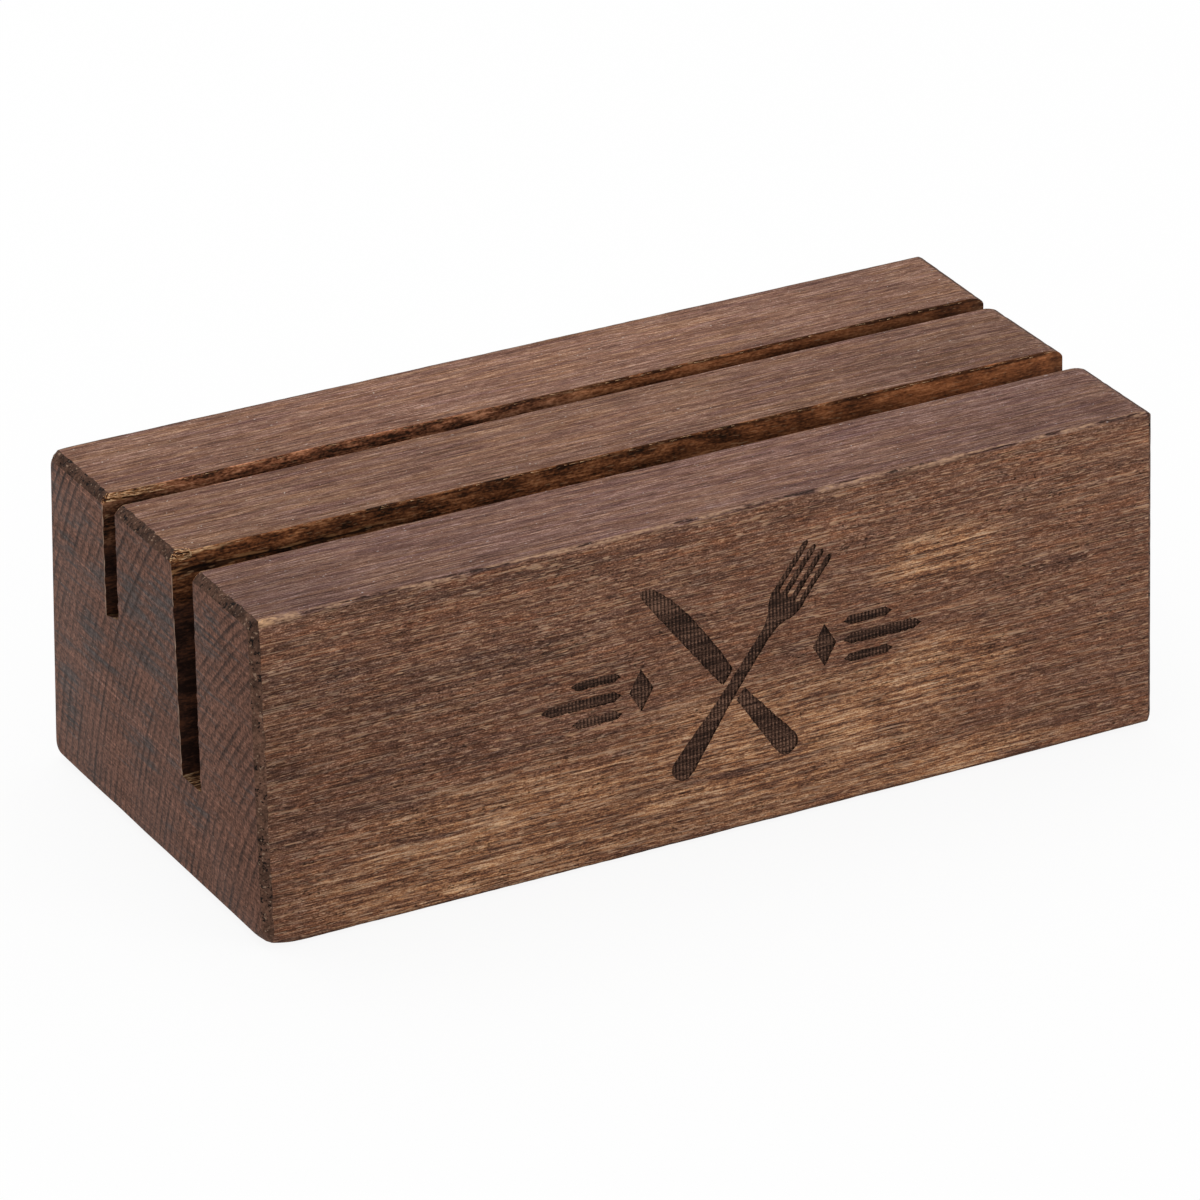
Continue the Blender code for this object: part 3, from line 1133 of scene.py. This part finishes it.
def fibre_tree():
    """Lays torn fibres along a line: thin splinters that point along it, at random angles."""
    n, keys, given, line = growth("torn_fibre_row", {
        "Spacing": "Float", "Shortest": "Float", "Longest": "Float", "Thickness": "Float",
        "Scatter": "Vector", "Lift": "Float", "Seed": "Int", "Material": "Material",
    })

    def random(low, high, seed=0):
        values = {2: low, 3: high, "Seed": seed}
        return n.node("FunctionNodeRandomValue", named=values).outputs[1]

    scatter, lift, seed = given["Scatter"], given["Lift"], given["Seed"]
    spaced = n.node("GeometryNodeCurveToPoints", line, mode="LENGTH", named={"Length": given["Spacing"]})
    back = n.node("ShaderNodeVectorMath", scatter, operation="SCALE", named={"Scale": -1}).outputs[0]
    values = {0: back, 1: scatter, "Seed": seed}
    jitter = n.node("FunctionNodeRandomValue", data_type="FLOAT_VECTOR", named=values).outputs[0]
    moved = n.node("GeometryNodeSetPosition", spaced.outputs["Points"], named={"Offset": jitter})
    values = {"Vertices": 5, "Side Segments": 2, "Radius Top": 0.12, "Radius Bottom": 1, "Depth": 1}
    splinter = n.node("GeometryNodeMeshCone", named=values).outputs["Mesh"]
    length = random(given["Shortest"], given["Longest"], seed)
    girth = n.times(random(0.5, 1.2), given["Thickness"])
    drop = n.times(lift, -1)
    upright = n.plus(random(drop, lift, 3), math.pi / 2)
    values = {
        "Instance": splinter,
        "Rotation": n.combine(0, upright, random(drop, lift, 8)),
        "Scale": n.combine(girth, girth, length),
    }
    placed = n.node("GeometryNodeInstanceOnPoints", moved.outputs[0], named=values)
    coat(n, placed.outputs[0], given["Material"])
    return n.tree, keys


def splinter_tree():
    """Turns lines into long splinters, round and thinner towards their ends."""
    n, keys, given, line = growth("long_splinters", {"Thickness": "Float", "Material": "Material"})
    along = n.node("GeometryNodeSplineParameter").outputs["Factor"]
    middle = n.math("PINGPONG", along, 0.5)
    values = {"From Max": 0.5, "To Min": 0.3}
    taper = n.node("ShaderNodeMapRange", middle, interpolation_type="SMOOTHSTEP", named=values)
    girth = n.times(taper.outputs[0], given["Thickness"])
    ring = n.node("GeometryNodeCurvePrimitiveCircle", named={"Resolution": 6, "Radius": 1})
    values = {"Profile Curve": ring.outputs["Curve"], "Scale": girth, "Fill Caps": True}
    swept = n.node("GeometryNodeCurveToMesh", line, named=values)
    coat(n, swept.outputs[0], given["Material"])
    return n.tree, keys


def grown(name, lines, tree, keys, values):
    """The mesh that a tree grows along lines of points."""
    shape = bmesh.new()
    for places in lines:
        verts = [shape.verts.new(place) for place in places]
        for start, end in zip(verts, verts[1:]):
            shape.edges.new((start, end))
    obj = object_from(name, shape)
    made = obj.modifiers.new("Growth", "NODES")
    made.node_group = tree
    for key, value in values.items():
        made[keys[key]] = value
    settle(obj)
    soften(obj, 50)
    return obj


# The rows of fibres torn along the slots' rear lips: the lip, the row's ends along the block, how far it lies
# behind the lip and below the top; the fibres' spacing, shortest, longest and thickness; scatter; lift
TORN_EDGES = {
    "rear_slot_torn_fibres": (
        REAR_MOUTH[1], (-74.6, -66), -0.15, 0.45, (0.16, 0.8, 3.2, 0.08), (0.4, 0.3, 0.4), 0.1,
    ),
    "front_slot_torn_fibres": (
        FRONT_MOUTH[1], (-73.6, -72.2), 0.1, 0.5, (0.25, 0.7, 2, 0.09), (0.3, 0.5, 0.3), 0.1,
    ),
    "front_slot_edge_fuzz": (
        FRONT_MOUTH[1], (-71, 71), -0.02, 0.22, (1.6, 0.5, 2.2, 0.05), (0.8, 0.05, 0.12), 0.06,
    ),
    "rear_slot_edge_fuzz": (
        REAR_MOUTH[1], (-66, 71), -0.02, 0.22, (1.9, 0.5, 2, 0.05), (0.8, 0.05, 0.12), 0.06,
    ),
}


def torn_fibres(name, tree, keys, material, seed):
    lip, ends, behind, below, sizes, scatter, lift = TORN_EDGES[name]
    values = {
        key: size * MM for key, size in zip(("Spacing", "Shortest", "Longest", "Thickness"), sizes)
    }
    values |= {"Scatter": [part * MM for part in scatter], "Lift": lift, "Seed": seed, "Material": material}
    line = [(x, lip + behind, TOP_Z - below) for x in ends]
    return grown(name, [line], tree, keys, values)


# The splinters round the chip: places along x and over the lip. Below 0 they run down the slot's wall.
CHIP_SPLINTERS = (
    (
        (-73.7, 2.4), (-73.1, 2), (-72.5, 1.45), (-72, 0.7), (-71.75, -0.1), (-71.2, -0.3),
        (-69.9, -0.25), (-68.4, -0.2),
    ),
    ((-74.6, -0.75), (-73.6, -1.05), (-72.6, -1), (-71.9, -0.5)),
    ((-74.2, 0.9), (-73.6, 0.75), (-72.9, 0.5), (-72.4, 0.2)),
)
SPLINTER_RADIUS = 0.09


def over_lip(x, over):
    """A point on the front slot's rear lip: on the top, or on the slot's wall where it is below 0."""
    return x, FRONT_MOUTH[1] + max(over, 0), TOP_Z + min(over, 0)


def chip_splinters(material):
    lines = [[over_lip(x, over) for x, over in smooth(places)] for places in CHIP_SPLINTERS]
    values = {"Thickness": SPLINTER_RADIUS * MM, "Material": material}
    return grown("front_slot_chip_splinters", lines, *splinter_tree(), values)


finishes = {
    "top": top_wood(),
    "side": side_wood(),
    "end": end_wood(),
    "soaked": soaked_wood(),
    "slot": slot_wood(),
}
block = block_body(finishes)
cut_foot_seats(block, finishes["slot"])
engrave(block, burnt_wood())
soften(block, 35)
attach(block, "root")
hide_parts("slotted_block")

tree, keys = fibre_tree()
raw = raw_wood()
for seed, name in enumerate(TORN_EDGES):
    fibres = torn_fibres(name, tree, keys, raw, seed)
    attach(fibres, "root")
splinters = chip_splinters(raw)
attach(splinters, "root")

foot_rubber = rubber()
for node, (x, y) in FEET.items():
    foot = rubber_foot(node, x, y, foot_rubber)
    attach(foot, "root")
    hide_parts(node)


# The camera, as fitted to the block's outline in a 1200 x 1200 frame
CAMERA_AZIMUTH = math.radians(-28.488)
CAMERA_ELEVATION = math.radians(25.655)
CAMERA_ROLL = math.radians(-0.341)
CAMERA_LENS = 230.892
CAMERA_DISTANCE = 1163.62
CAMERA_OFFSET = (0.754, -20.633)
CAMERA_CLIP = (10, 20000)
SENSOR_WIDTH = 36


def place_camera():
    camera = bpy.data.objects.new("camera", bpy.data.cameras.new("camera"))
    camera.data.sensor_width = SENSOR_WIDTH
    camera.data.lens = CAMERA_LENS
    camera.data.clip_start, camera.data.clip_end = (reach * MM for reach in CAMERA_CLIP)
    turns = ((CAMERA_AZIMUTH, "Z"), (math.pi / 2 - CAMERA_ELEVATION, "X"), (CAMERA_ROLL, "Z"))
    place = Matrix.Translation((0, 0, BASE_Z * MM))
    for angle, axis in turns:
        place @= Matrix.Rotation(angle, 4, axis)
    across, up = CAMERA_OFFSET
    camera.matrix_world = place @ Matrix.Translation(Vector((-across, -up, CAMERA_DISTANCE)) * MM)
    COLLECTION.objects.link(camera)
    bpy.context.scene.camera = camera


FLOOR_HALF = 3000
FLOOR_COLOUR = (0.92, 0.92, 0.92, 1)
FLOOR_GLOW = 0.9
UNDERSIDE_GAP = 4
WHITE = (1, 1, 1, 1)
SKY_STRENGTH = 0.72
# Each lamp's place and width in metres, and its power in watts
LAMPS = {
    "overhead_softbox": ((-0.1, 0.35, 0.9), 0.8, 3.2),
    "front_fill": ((0.7, -1, 0.55), 0.7, 3),
}
LAMP_AIM = Vector((0, 0, 0.03))


def seen_directly(n, path):
    """1 for the rays that show the backdrop itself."""
    seen = n.most(path["Is Camera Ray"], path["Is Glossy Ray"])
    return n.most(seen, path["Is Transmission Ray"])


def lay_floor():
    """A pale floor that the camera sees as white where no shadow falls, and sees through from below."""
    shape = bmesh.new()
    corners = [(-1, -1), (1, -1), (1, 1), (-1, 1)]
    shape.faces.new([shape.verts.new((u * FLOOR_HALF, v * FLOOR_HALF, 0)) for u, v in corners])
    material = bpy.data.materials.new("pale_floor")
    material.use_nodes = True
    material.node_tree.nodes.clear()
    n = Nodes(material.node_tree)
    path = n.node("ShaderNodeLightPath").outputs
    matt = n.node("ShaderNodeBsdfDiffuse", FLOOR_COLOUR).outputs[0]
    glow = n.node("ShaderNodeEmission", WHITE, 1).outputs[0]
    lit = n.node("ShaderNodeMixShader", n.times(seen_directly(n, path), FLOOR_GLOW), matt, glow)
    behind = n.node("ShaderNodeNewGeometry").outputs["Backfacing"]
    through = n.most(behind, n.math("LESS_THAN", path["Ray Length"], UNDERSIDE_GAP * MM))
    clear = n.node("ShaderNodeBsdfTransparent").outputs[0]
    whole = n.node("ShaderNodeMixShader", through, lit.outputs[0], clear)
    n.node("ShaderNodeOutputMaterial", whole.outputs[0])
    floor = object_from("floor", shape, [material])


def light_room():
    world = bpy.data.worlds.new("studio")
    bpy.context.scene.world = world
    world.use_nodes = True
    n = Nodes(world.node_tree)
    sky = n.tree.nodes["Background"]
    n.join(WHITE, sky.inputs["Color"])
    n.join(SKY_STRENGTH, sky.inputs["Strength"])
    backdrop = n.node("ShaderNodeBackground", WHITE, 1).outputs[0]
    seen = seen_directly(n, n.node("ShaderNodeLightPath").outputs)
    shown = n.node("ShaderNodeMixShader", seen, sky.outputs[0], backdrop)
    n.join(shown.outputs[0], n.tree.nodes["World Output"].inputs["Surface"])
    for name, (spot, size, power) in LAMPS.items():
        lamp = bpy.data.lights.new(name, "AREA")
        lamp.shape = "SQUARE"
        lamp.size = size
        lamp.energy = power
        obj = bpy.data.objects.new(name, lamp)
        obj.location = spot
        obj.rotation_mode = "QUATERNION"
        obj.rotation_quaternion = (LAMP_AIM - Vector(spot)).to_track_quat("-Z", "Y")
        COLLECTION.objects.link(obj)


place_camera()
lay_floor()
light_room()
bpy.context.scene.view_settings.view_transform = "Standard"
